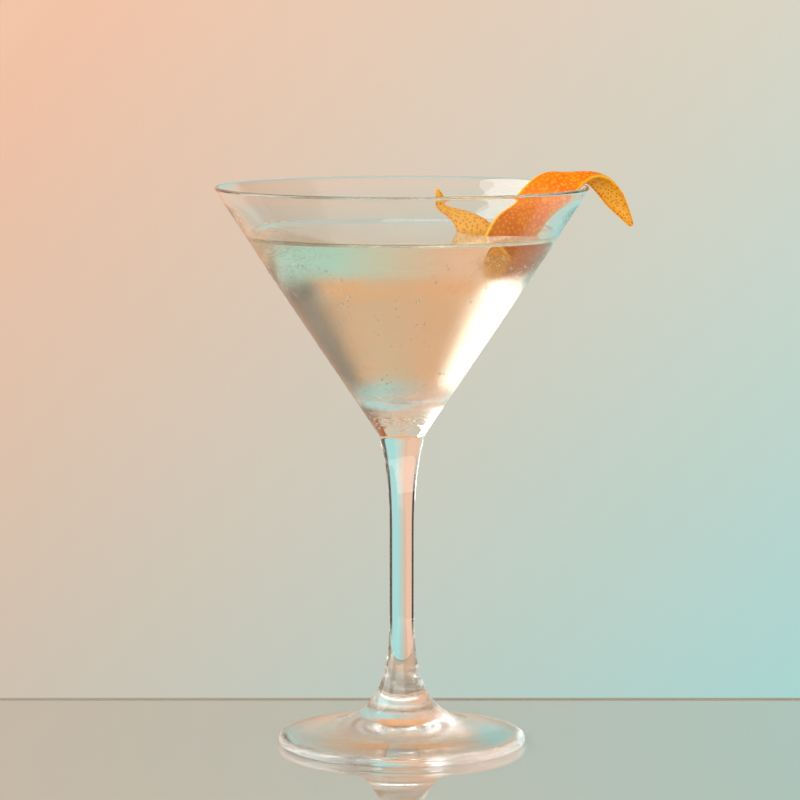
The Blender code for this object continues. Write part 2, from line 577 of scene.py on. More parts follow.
@dataclass(frozen=True)
class PeelUnderside:
    """The cut inner face: pale gold flesh under the rind, dotted where the knife opened the oil glands."""

    flesh: str = "#F4BA3A"
    warm: str = "#FA9E0E"
    gland: str = "#BE6408"
    roughness: float = 0.5
    ior: float = 1.4
    coat: float = 0.08
    # Painted light: how strongly the underside glows in its own colour.
    painted_glow: float = 0.09
    light_reach: float = 1.0 * MM
    streak_size: float = 2.5 * MM
    streak_warmth: float = 0.45

    def material(self) -> bpy.types.Material:
        """Make the material from the strip's own gland and edge values."""
        values = {
            "Roughness": self.roughness,
            "IOR": self.ior,
            "Subsurface Weight": 0.3,
            "Subsurface Radius": (1.0, 0.55, 0.15),
            "Subsurface Scale": self.light_reach,
            "Coat Weight": self.coat,
            "Coat Roughness": 0.2,
            "Emission Strength": self.painted_glow,
        }
        made = new_finish("orange_peel_underside", values)
        tree = made.node_tree
        shader = tree.nodes["Principled BSDF"]
        place = add_node(tree, "ShaderNodeTexCoord").outputs["Object"]
        streaks = add_node(
            tree,
            "ShaderNodeTexNoise",
            {"Scale": 1 / self.streak_size, "Detail": 4.0},
            {"Vector": place},
        )
        edge = add_node(tree, "ShaderNodeAttribute", {"attribute_name": "cut_edge"})
        warmth = add_node(
            tree,
            "ShaderNodeMath",
            {"operation": "MULTIPLY_ADD", 1: self.streak_warmth, "use_clamp": True},
            {0: streaks.outputs["Fac"], 2: edge.outputs["Fac"]},
        )
        flesh = add_node(
            tree,
            "ShaderNodeMix",
            {"data_type": "RGBA", 6: linear(self.flesh), 7: linear(self.warm)},
            {0: warmth.outputs[0]},
        )
        gland = add_node(tree, "ShaderNodeAttribute", {"attribute_name": "gland"})
        dotted = add_node(
            tree,
            "ShaderNodeMix",
            {"data_type": "RGBA", 7: linear(self.gland)},
            {0: gland.outputs["Fac"], 6: flesh.outputs[2]},
        )
        tree.links.new(dotted.outputs[2], shader.inputs["Base Color"])
        # Painted light: the underside glows in its base colour.
        tree.links.new(dotted.outputs[2], shader.inputs["Emission Color"])
        return made


# ---------------------------------------------------------------- glass


@dataclass(frozen=True)
class CocktailGlass:
    """The stemmed cone glass: its outlines, and the piece turned from them."""

    height: float = 175.4 * MM
    rim_radius: float = 58.0 * MM
    lip_radius: float = 0.65 * MM
    collar_height: float = 97.6 * MM
    collar_radius: float = 7.15 * MM
    bowl_slope: float = 0.67
    bowl_closing: float = 0.75 * MM
    floor_height: float = 109.0 * MM
    floor_rounding: float = 25.2 * MM
    lip_bead: float = 0.22 * MM
    lip_bead_reach: float = 4.5 * MM
    stem: float = 3.93 * MM
    swell_start: float = 64.0 * MM
    swell_end: float = 95.6 * MM
    swell: float = 2.83 * MM
    swell_power: float = 2.9
    fillet_top: float = 99.3 * MM
    flare_start: float = 40.0 * MM
    foot_radius: float = 38.9 * MM
    foot_edge: float = 1.5 * MM
    rest_ring: float = 35.5 * MM
    underside_hollow: float = 8.2 * MM
    underside_power: float = 1.35
    underside_cap: float = 5.2 * MM
    mist_start: float = 163.0 * MM
    # A face less than this inside the bowl's outline lies on its outside.
    skin_depth: float = 0.3 * MM
    # The foot's flare is bare glass over its first steps.
    bare_flare_steps: int = 20

    @property
    def lip_centre(self) -> tuple[float, float]:
        """Centre of the lip's rounding."""
        return (self.rim_radius - self.lip_radius, self.height - self.lip_radius)

    @property
    def floor_centre(self) -> float:
        """Height of the centre of the bowl's rounded floor."""
        return self.floor_height + self.floor_rounding

    @property
    def half_angle(self) -> float:
        """Half the angle of the bowl's inside cone."""
        across, up = self.lip_centre[0], self.lip_centre[1] - self.floor_centre
        rounding = self.floor_rounding + self.lip_radius
        return math.atan2(across, up) - math.asin(rounding / math.hypot(across, up))

    def bowl_radius(self, height: float) -> float:
        """Outside radius of the bowl at a height."""
        above = height - self.collar_height
        share = above / (self.height - self.collar_height)
        return self.collar_radius + self.bowl_slope * above - self.bowl_closing * share**4

    def stem_radius(self, height: float) -> float:
        """Radius of the stem where it swells up to the collar."""
        share = max(0.0, (height - self.swell_start) / (self.swell_end - self.swell_start))
        return self.stem + self.swell * share**self.swell_power

    def thinning(self, height: float) -> float:
        """How far the inside stands back under the lip's bead: most at the bead's reach."""
        share = max(0.0, (self.lip_centre[1] - height) / self.lip_bead_reach)
        return self.lip_bead * share**2 * math.exp(2 - 2 * share)

    def inside_radius(self, height: float, inset: float = 0.0) -> float:
        """Radius of the bowl's inside wall at a height above its floor, moved in by inset."""
        start = (self.floor_rounding - inset) / math.cos(self.half_angle)
        return start + (height - self.floor_centre) * math.tan(self.half_angle) + self.thinning(height)

    def floor_outline(self, inset: float, steps: int = 28) -> Outline:
        """The bowl's rounded floor from the axis to where the straight wall starts."""
        centre = (0.0, self.floor_centre)
        points = arc(centre, self.floor_rounding - inset, -90, -math.degrees(self.half_angle), steps)
        return [(0.0, points[0][1]), *points[1:]]

    def inside_outline(self) -> Outline:
        """From the middle of the floor up to the lip and half over it."""
        lip = arc(self.lip_centre, self.lip_radius, 180 - math.degrees(self.half_angle), 0, 12)
        floor = self.floor_outline(0.0)
        wall_steps = 96
        wall = []
        for i in range(1, wall_steps):
            height = floor[-1][1] + (lip[0][1] - floor[-1][1]) * i / wall_steps
            wall.append((self.inside_radius(height), height))
        return floor + wall + lip

    def bowl_outline(self) -> Outline:
        """The bowl's outside, from the lip down to the fillet above the stem."""
        slant = -math.degrees(math.atan(self.bowl_slope))
        points = arc(self.lip_centre, self.lip_radius, 0, slant, 6)[1:]
        start = points[-1][1] - self.lip_radius
        steps = 60
        for i in range(steps + 1):
            height = start + (self.fillet_top - start) * i / steps
            points.append((self.bowl_radius(height), height))
        return points

    def stem_outline(self) -> Outline:
        """The fillet under the bowl, and the stem down to where the foot's flare starts."""
        corner = (self.bowl_radius(self.collar_height), self.collar_height)
        top = (self.bowl_radius(self.fillet_top), self.fillet_top)
        points = bezier([top, corner, corner, (self.stem_radius(self.swell_end), self.swell_end)], 12)
        steps = 24
        for i in range(1, steps + 1):
            height = self.swell_end + (self.flare_start - self.swell_end) * i / steps
            points.append((self.stem_radius(height), height))
        return points

    def foot_outline(self) -> Outline:
        """The foot's top: the flare from the stem out to the rounded edge."""
        corners = [
            (self.stem, self.flare_start),
            (self.stem, 12 * MM),
            (12 * MM, 5.9 * MM),
            (self.foot_radius - self.foot_edge, 2 * self.foot_edge),
        ]
        return bezier(corners, 56)

    def underside_outline(self) -> Outline:
        """Round the foot's edge, over the ring that it rests on, and up into the shallow hollow."""
        centre = (self.foot_radius - self.foot_edge, self.foot_edge)
        points = arc(centre, self.foot_edge, 90, -90, 14)[1:]
        steps = 24
        for i in range(steps + 1):
            share = 1 - i / steps
            cone = self.underside_hollow * (1 - share) ** self.underside_power
            # The cone's tip is rounded off under the cap.
            height = cone / (1 + (cone / self.underside_cap) ** 6) ** (1 / 6)
            points.append((self.rest_ring * share, height))
        return points

    def build(self, finishes: list[bpy.types.Material]) -> bpy.types.Object:
        """Turn the whole glass.

        Args:
            finishes: The bare glass, the misted bowl and the misted foot, in the order of GlassSkin.

        Returns:
            The piece, with the mist on the outside of the bowl and on the foot's top.
        """
        inside, bowl = self.inside_outline(), self.bowl_outline()
        stem, foot = self.stem_outline(), self.foot_outline()
        outline = inside + bowl + stem + foot + self.underside_outline()
        glass = turned("cocktail_glass", outline, finishes)
        foot_start = foot[self.bare_flare_steps][1]
        centres = np.zeros(len(glass.data.polygons) * 3)
        glass.data.polygons.foreach_get("center", centres)
        centres = centres.reshape(-1, 3)
        radii = np.hypot(centres[:, 0], centres[:, 1])
        skin = np.full(len(centres), GlassSkin.CLEAR.value, np.int32)
        wall = np.interp(centres[:, 2], [z for _, z in bowl[::-1]], [r for r, _ in bowl[::-1]])
        outside = radii > wall - self.skin_depth
        on_bowl = outside & (centres[:, 2] > self.collar_height) & (centres[:, 2] < self.mist_start)
        skin[on_bowl] = GlassSkin.MISTED_BOWL.value
        on_foot = (centres[:, 2] < foot_start) & (centres[:, 2] > 2 * self.foot_edge)
        skin[on_foot] = GlassSkin.MISTED_FOOT.value
        glass.data.polygons.foreach_set("material_index", skin)
        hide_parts("glass")
        return glass


# ---------------------------------------------------------------- drink


@dataclass(frozen=True)
class Drink:
    """The liquid up to its level, with the meniscus that climbs the wall."""

    level: float = 160.0 * MM
    climb: float = 1.0 * MM
    reach: float = 2.6 * MM
    overlap: float = 0.2 * MM

    def build(self, glass: CocktailGlass, finish: bpy.types.Material) -> bpy.types.Object:
        """Turn the liquid so that it reaches just into the wall and no air shows between them."""
        contact = glass.inside_radius(self.level + self.climb)
        points = [(0.0, self.level)]
        flat_rings = 10
        for i in range(1, flat_rings):
            points.append(((contact - self.reach) * i / flat_rings, self.level))
        steps = 24
        for i in range(steps + 1):
            share = i / steps
            points.append((contact - self.reach * (1 - share), self.level + self.climb * share**3))
        top = self.level + self.climb
        wall = glass.floor_outline(-self.overlap)[::-1]
        wall_steps = 48
        for i in range(wall_steps):
            height = top + (wall[0][1] - top) * i / wall_steps
            points.append((glass.inside_radius(height, -self.overlap), height))
        drink = turned("rum_drink", points + wall, [finish])
        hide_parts("drink")
        return drink


# ---------------------------------------------------------------- peel


@dataclass(frozen=True)
class OrangeTwist:
    """One strip of peel, wound about a level axis that runs out over the rim along +X."""

    thickness: float = 1.3 * MM
    edge_rounding: float = 0.4 * MM
    winding_radius: float = 12.0 * MM
    winding_depth: float = 7.5 * MM
    winding_y: float = 4.0 * MM
    winding_height: float = 168.1 * MM
    winding_rise: float = 12.2 * MM
    winding_flattening: float = 1.2 * MM
    body_curl: float = -0.09
    tail_curl: float = 0.39
    curl_change: tuple[float, float] = (math.radians(40), math.radians(130))
    # Turn about the winding axis (0 faces -Y, 90 is the top), place along it in mm, half width in mm.
    stations: tuple = (
        (-209, 10.9, 0.5),
        (-186, 13.0, 1.9),
        (-160, 19.4, 3.7),
        (-125, 24.8, 6.4),
        (-80, 29.4, 7.0),
        (-35, 34.2, 7.0),
        (0, 39.9, 6.5),
        (45, 48.2, 6.9),
        (90, 56.7, 4.9),
        (130, 61.8, 3.7),
        (165, 66.2, 3.2),
        (190, 69.7, 1.8),
        (207, 72.0, 0.6),
    )
    steps: int = 480
    columns: int = 60
    gland_spacing: float = 1.15 * MM
    gland_radius: float = 0.30 * MM
    pit_depth: float = 0.13 * MM
    # Flecks on the rind: partly the glands' paler tone, partly painted highlight glints.
    fleck_and_glint_spacing: float = 1.5 * MM
    fleck_and_glint_radius: float = 0.34 * MM
    fleck_and_glint_strength: float = 0.7
    dot_strength: float = 0.85
    trimmed_width: float = 0.55 * MM
    thinnest: float = 0.12 * MM
    seed: int = 7

    def through_stations(self, column: int, place: np.ndarray) -> np.ndarray:
        """A Catmull-Rom curve through one column of the stations."""
        values = [station[column] for station in self.stations]
        values = np.array([2 * values[0] - values[1], *values, 2 * values[-1] - values[-2]])
        i = np.minimum(place.astype(int), len(self.stations) - 2)
        t = place - i
        a, b, c, d = (values[i + k] for k in range(4))
        bend, twist = 2 * a - 5 * b + 4 * c - d, 3 * b - a - 3 * c + d
        return 0.5 * (2 * b + (c - a) * t + bend * t**2 + twist * t**3)

    def middle(self, place: np.ndarray, side: np.ndarray) -> np.ndarray:
        """Points of the strip's middle surface.

        Args:
            place: Place along the stations, from 0 to their count less one.
            side: Place across the strip, -1 to 1.

        Returns:
            One row of coordinates for each.
        """
        near = 1e-3
        turn = np.radians(self.through_stations(0, place))
        along = self.through_stations(1, place) * MM
        half_width = self.through_stations(2, place) * MM
        run_along = (self.through_stations(1, place + near) - self.through_stations(1, place - near)) * MM
        run_turn = np.radians(
            self.through_stations(0, place + near) - self.through_stations(0, place - near)
        )
        length = np.hypot(run_along, run_turn * self.winding_radius)
        across = half_width * side
        point_along = along - across * run_turn * self.winding_radius / length
        point_turn = turn + across * run_along / length / self.winding_radius
        rise = np.sin(point_turn)
        y = self.winding_y - self.winding_depth * np.cos(point_turn)
        z = self.winding_height + self.winding_rise * rise - self.winding_flattening * rise**2
        normal_y = -np.cos(point_turn) / self.winding_depth
        normal_z = np.sin(point_turn) / self.winding_rise
        size = np.hypot(normal_y, normal_z)
        share = np.clip((turn - self.curl_change[0]) / (self.curl_change[1] - self.curl_change[0]), 0, 1)
        curl = self.body_curl + (self.tail_curl - self.body_curl) * share**2 * (3 - 2 * share)
        inward = curl * half_width * side**2
        return np.stack(
            (point_along, y - inward * normal_y / size, z - inward * normal_z / size), axis=-1
        )

    def glands(self, run: np.ndarray, across: np.ndarray, spacing: float, seed: int) -> np.ndarray:
        """Distance from each point of the unrolled strip to its nearest oil gland.

        Args:
            run: Place along the strip in metres.
            across: Place across it in metres.
            spacing: Mean distance between glands.
            seed: Which scatter to draw.

        Returns:
            The distances, in the same shape.
        """
        rng = np.random.default_rng(seed)
        cells = 256
        shift = rng.uniform(-0.38, 0.38, (cells, cells, 2))
        col = np.floor(run / spacing).astype(int)
        row = np.floor(across / spacing).astype(int)
        nearest = np.full(run.shape, np.inf)
        for dc in (-1, 0, 1):
            for dr in (-1, 0, 1):
                c, r = col + dc, row + dr
                jitter = shift[c % cells, r % cells]
                x = (c + 0.5 + jitter[..., 0] + 0.5 * (r % 2)) * spacing
                y = (r + 0.5 + jitter[..., 1]) * spacing
                nearest = np.minimum(nearest, np.hypot(run - x, across - y))
        return nearest

    def outward(self, place: np.ndarray, side: np.ndarray, middle: np.ndarray) -> np.ndarray:
        """Give the middle surface's unit normals, pointing away from the winding's axis.

        Args:
            place: Place along the stations.
            side: Place across the strip, -1 to 1.
            middle: The points themselves.

        Returns:
            One row of components for each point.
        """
        near = 1e-3
        ahead = self.middle(place + near, side) - middle
        beside = self.middle(place, side + near) - middle
        normal = np.cross(beside, ahead)
        normal /= np.linalg.norm(normal, axis=-1, keepdims=True)
        from_axis = middle[:, self.columns // 2] - np.array([0, self.winding_y, self.winding_height])
        from_axis[:, 0] = 0
        return normal if np.sum(normal[:, self.columns // 2] * from_axis) > 0 else -normal

    @staticmethod
    def skin(rows: int, columns: int) -> tuple[list, list]:
        """List the faces of both sides and of the border between them.

        Args:
            rows: How many points lie along the strip.
            columns: How many lie across it.

        Returns:
            The faces as vertex numbers, the outer side's points first, and the finish of each face.
        """
        shift = rows * columns
        number = np.arange(shift).reshape(rows, columns)
        a, b = number[:-1, :-1].ravel(), number[:-1, 1:].ravel()
        c, d = number[1:, 1:].ravel(), number[1:, :-1].ravel()
        border = np.concatenate((number[0, :-1], number[:-1, -1], number[-1, :0:-1], number[:0:-1, 0]))
        following = np.roll(border, -1)
        faces = np.column_stack((a, b, c, d)).tolist()
        faces += (np.column_stack((a, d, c, b)) + shift).tolist()
        faces += np.column_stack((following, border, border + shift, following + shift)).tolist()
        sides = [PeelSide.RIND.value] * len(a) + [PeelSide.UNDERSIDE.value] * len(a)
        return faces, sides + [PeelSide.RIND.value] * len(border)

    def build(self, rind: bpy.types.Material, underside: bpy.types.Material) -> bpy.types.Object:
        """Make the strip with pitted rind, rounded cut edges and a dotted underside.

        Args:
            rind: Finish of the outer side and the edges.
            underside: Finish of the inner side.

        Returns:
            The closed piece.
        """
        last = len(self.stations) - 1
        place = np.linspace(0.002, last - 0.002, self.steps + 1)
        side = np.sin(np.linspace(-1, 1, self.columns + 1) * math.pi / 2 * 0.985)
        place, side = np.meshgrid(place, side / side.max(), indexing="ij")
        middle = self.middle(place, side)
        normal = self.outward(place, side, middle)
        half_width = self.through_stations(2, place[:, :1]) * MM
        from_edge = half_width * (1 - np.abs(side))
        inside_edge = np.clip(1 - from_edge / np.minimum(self.edge_rounding, half_width * 0.6), 0, 1)
        half = 0.5 * self.thickness * np.sqrt(np.maximum(0, 1 - inside_edge**2))
        tip = np.minimum(1, np.minimum(place, last - place) / 0.25) ** 0.5
        half = np.maximum(half * (0.35 + 0.65 * tip), self.thinnest / 2)
        steps_along = np.linalg.norm(np.diff(middle[:, self.columns // 2], axis=0), axis=1)
        run = np.concatenate(([0], np.cumsum(steps_along)))[:, None] + 0 * side
        across = half_width * side
        pit = np.exp(-((self.glands(run, across, self.gland_spacing, self.seed) / self.gland_radius) ** 2))
        swell = self.glands(run, across, self.gland_spacing * 1.25, self.seed + 1)
        dot = np.exp(-((swell / (self.gland_radius * 1.05)) ** 4))
        relief = self.pit_depth * (pit - 0.4) * (1 - inside_edge)
        outer = middle + normal * (half - relief)[..., None]
        inner = middle - normal * (half - 0.4 * self.pit_depth * dot)[..., None]
        faces, sides = self.skin(*outer.shape[:2])
        points = np.concatenate((outer.reshape(-1, 3), inner.reshape(-1, 3)))
        twist = new_piece("orange_peel_twist", points, faces, [rind, underside])
        twist.data.polygons.foreach_set("material_index", np.array(sides, np.int32))
        hugging = np.clip(1.3 - from_edge / self.trimmed_width, 0, 1) * 0.75
        # Paler flecks on the rind, partly their own tone and partly painted highlight glints.
        fleck_and_glint = self.glands(run, across, self.fleck_and_glint_spacing, self.seed + 2)
        rind_fleck_and_glint = self.fleck_and_glint_strength * np.exp(-((fleck_and_glint / self.fleck_and_glint_radius) ** 4))
        self.store(twist, "gland", np.concatenate((rind_fleck_and_glint.ravel(), dot.ravel() * self.dot_strength)))
        self.store(twist, "cut_edge", np.concatenate((hugging.ravel(), hugging.ravel())))
        self.face_out(twist)
        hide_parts("orange_twist")
        return twist

    @staticmethod
    def store(piece: bpy.types.Object, name: str, values: np.ndarray) -> None:
        """Keep one number for each vertex, for the materials to read."""
        kept = piece.data.attributes.new(name, "FLOAT", "POINT")
        kept.data.foreach_set("value", values.astype(np.float32))

    @staticmethod
    def face_out(piece: bpy.types.Object) -> None:
        """Turn the faces of a closed piece outwards if its volume says they point in."""
        mesh = piece.data
        mesh.calc_loop_triangles()
        corners = np.zeros(len(mesh.loop_triangles) * 3, np.int32)
        mesh.loop_triangles.foreach_get("vertices", corners)
        places = np.zeros(len(mesh.vertices) * 3)
        mesh.vertices.foreach_get("co", places)
        a, b, c = (places.reshape(-1, 3)[corners.reshape(-1, 3)[:, k]] for k in range(3))
        if np.einsum("ij,ij->", a, np.cross(b, c)) < 0:
            mesh.flip_normals()


# ---------------------------------------------------------------- condensation


@dataclass(frozen=True)
class Beads:
    """One scatter of water beads on a turned surface."""

    name: str
    count: int
    smallest: float
    largest: float
    favour_small: float
    facets: int
    rings: int
    seed: int
    flatness: float = 0.55
    sunk: float = 0.03 * MM

    def template(self) -> tuple[np.ndarray, list]:
        """A closed dome of radius 1 with its foot just under z = 0, and its faces."""
        points, faces = [], []
        angles = [2 * math.pi * k / self.facets for k in range(self.facets)]
        for ring in range(self.rings + 1):
            lean = math.radians(90) * ring / (self.rings + 1)
            wide, high = math.cos(lean), math.sin(lean)
            points += [(wide * math.cos(a), wide * math.sin(a), high) for a in angles]
        apex = len(points)
        points += [(0.0, 0.0, 1.0), (0.0, 0.0, 0.0)]
        for k in range(self.facets):
            following = (k + 1) % self.facets
            for ring in range(self.rings):
                lower, upper = ring * self.facets, (ring + 1) * self.facets
                faces.append((lower + k, lower + following, upper + following, upper + k))
            top = self.rings * self.facets
            faces.append((top + k, top + following, apex))
            faces.append((following, k, apex + 1))
        return np.array(points), faces

    def build(self, outline: Outline, chance: Callable, finish: bpy.types.Material) -> bpy.types.Object:
        """Scatter the beads.

        Args:
            outline: The surface's radius and height from its top down.
            chance: Function of radius, height and angle that gives how likely a bead is there.
            finish: The beads' material.

        Returns:
            All the beads as one piece.
        """
        rng = np.random.default_rng(self.seed)
        line = np.array(outline)
        steps = np.diff(line, axis=0)
        spans = np.hypot(steps[:, 0], steps[:, 1])
        area = spans * (line[1:, 0] + line[:-1, 0])
        drawn = 6 * self.count
        pick = rng.choice(len(area), drawn, p=area / area.sum())
        share = rng.random(drawn)
        radius = line[pick, 0] + steps[pick, 0] * share
        height = line[pick, 1] + steps[pick, 1] * share
        angle = rng.uniform(0, 2 * math.pi, drawn)
        size = self.smallest + (self.largest - self.smallest) * rng.random(drawn) ** self.favour_small
        squeeze = rng.uniform(0.85, 1.15, drawn)
        spin = rng.uniform(0, 2 * math.pi, drawn)
        wanted = rng.random(drawn) < chance(radius, height, angle)
        kept = np.flatnonzero(wanted)[: self.count]
        slope = steps[pick] / spans[pick, None]
        out = np.column_stack((-slope[:, 1], slope[:, 0]))
        template, faces = self.template()
        faces = [np.array(face) for face in faces]
        all_points, all_faces = [], []
        for n, k in enumerate(kept):
            radial = np.array([math.cos(angle[k]), math.sin(angle[k]), 0.0])
            up = radial * out[k, 0] + np.array([0, 0, out[k, 1]])
            side = np.array([-radial[1], radial[0], 0.0])
            down = np.cross(up, side)
            frame_axes = np.array([side, down, up])
            cosine, sine = math.cos(spin[k]), math.sin(spin[k])
            turn = np.array([[cosine, sine, 0], [-sine, cosine, 0], [0, 0, 1]])
            shape = template * [size[k] * squeeze[k], size[k] / squeeze[k], size[k] * self.flatness]
            spot = radial * radius[k] + np.array([0, 0, height[k]]) - up * self.sunk
            all_points.append(shape @ turn @ frame_axes + spot)
            base = n * len(template)
            all_faces += [(face + base).tolist() for face in faces]
        return new_piece(self.name, np.vstack(all_points), all_faces, [finish])


@dataclass(frozen=True)
class Condensation:
    """The beads of water that stand out of the mist on the cold bowl and on the foot."""

    mist_top: float = 152.5 * MM
    lean: float = 0.09
    edge_depth: float = 3 * MM
    collar: float = 109 * MM
    collar_reach: float = 6 * MM
    foot_middle: float = 13 * MM
    foot_reach: float = 9 * MM
    bowl_beads: Beads = Beads("bowl_mist_beads", 3600, 0.13 * MM, 0.30 * MM, 2.0, 6, 1, seed=11)
    bowl_drops: Beads = Beads("bowl_drops", 420, 0.24 * MM, 0.60 * MM, 3.0, 10, 3, seed=12)
    foot_beads: Beads = Beads("foot_mist_beads", 1900, 0.11 * MM, 0.26 * MM, 1.8, 6, 1, seed=13)
    # The glass's outlines from here on carry beads.
    bowl_from: int = 8
    foot_from: int = 24

    def on_bowl(self, radius: np.ndarray, height: np.ndarray, angle: np.ndarray) -> np.ndarray:
        """Beads crowd under the mist's upper edge at the sides, and over the collar."""
        edge = self.mist_top + self.lean * radius * np.maximum(np.cos(angle), 0)
        edge += 1.5 * MM * np.sin(5 * angle + 1) + 1.0 * MM * np.sin(13 * angle)
        below = (edge - height) / self.edge_depth
        near_edge = np.exp(-np.maximum(below - 1, 0) / 2.0)
        near_collar = np.exp(-(((height - self.collar) / self.collar_reach) ** 2))
        flank = np.clip(1.35 * np.abs(np.cos(angle)) - 0.35, 0, 1)
        chance = 0.05 + (0.12 + 0.8 * near_edge) * flank + 0.5 * near_collar
        return np.where(below > 0, np.clip(chance, 0, 1), 0)

    def on_foot(self, radius: np.ndarray, height: np.ndarray, angle: np.ndarray) -> np.ndarray:
        """Beads lie on the middle of the foot and thin out towards its edge."""
        return np.clip(1.2 - np.abs(radius - self.foot_middle) / self.foot_reach, 0, 1)

    def build(self, glass: CocktailGlass, finish: bpy.types.Material) -> None:
        """Scatter the beads on the bowl's outside and on the foot's top."""
        bowl = glass.bowl_outline()[self.bowl_from :]
        foot = glass.foot_outline()[self.foot_from :]
        self.bowl_beads.build(bowl, self.on_bowl, finish)
        self.bowl_drops.build(bowl, self.on_bowl, finish)
        self.foot_beads.build(foot, self.on_foot, finish)


# ---------------------------------------------------------------- studio


@dataclass(frozen=True)
class Wash:
    """One coloured lamp's light on the backdrop.

    Its brightness is middle straight behind the glass. It changes by to_right across and by upwards with
    the height, and is never over most.
    """

    colour: str
    middle: float
    to_right: float
    upwards: float
    most: float


@dataclass(frozen=True)
class Gap:
    """A dark opening between the pale walls, in degrees, with azimuth 0 straight behind the glass."""

    near: float
    far: float
    foot: float
    top: float
    side_fade: float = 6.0
    end_fade: float = 5.0

    def share(
        self,
        tree: bpy.types.NodeTree,
        azimuth: bpy.types.NodeSocket,
        elevation: bpy.types.NodeSocket,
    ) -> bpy.types.NodeSocket:
        """Work out how far a direction lies in the gap.

        Args:
            tree: The world's tree.
            azimuth: The direction's azimuth.
            elevation: Its elevation.

        Returns:
            1 inside the gap, fading to 0 outside.
        """
        fade = math.copysign(self.side_fade, self.near)
        bounds = (
            (azimuth, self.near, self.near + fade),
            (azimuth, self.far + fade, self.far),
            (elevation, self.foot, self.foot + self.end_fade),
            (elevation, self.top + self.end_fade, self.top - self.end_fade),
        )
        inside = [
            add_node(tree, "ShaderNodeMapRange", in_degrees(start, end), {0: angle}).outputs[0]
            for angle, start, end in bounds
        ]
        share = inside[0]
        for other in inside[1:]:
            both = {0: share, 1: other}
            share = add_node(tree, "ShaderNodeMath", {"operation": "MULTIPLY"}, both).outputs[0]
        return share


@dataclass(frozen=True)
class Softbox:
    """A rectangular lamp out of the camera's sight.

    Its radiance says how bright its face is, a white wall in the scene being about 1.
    """

    name: str
    place: tuple[float, float, float]
    aim: tuple[float, float, float]
    size: tuple[float, float]
    radiance: float

    def hang(self) -> bpy.types.Object:
        """Hang it and turn its face to its aim."""
        lamp = bpy.data.lights.new(self.name, "AREA")
        lamp.shape = "RECTANGLE"
        lamp.size, lamp.size_y = self.size
        lamp.energy = self.radiance * math.pi * self.size[0] * self.size[1]
        light = bpy.data.objects.new(self.name, lamp)
        bpy.context.scene.collection.objects.link(light)
        light.location = self.place
        light.rotation_euler = (Vector(self.aim) - Vector(self.place)).to_track_quat("-Z", "Y").to_euler()
        light.visible_camera = False
        return light


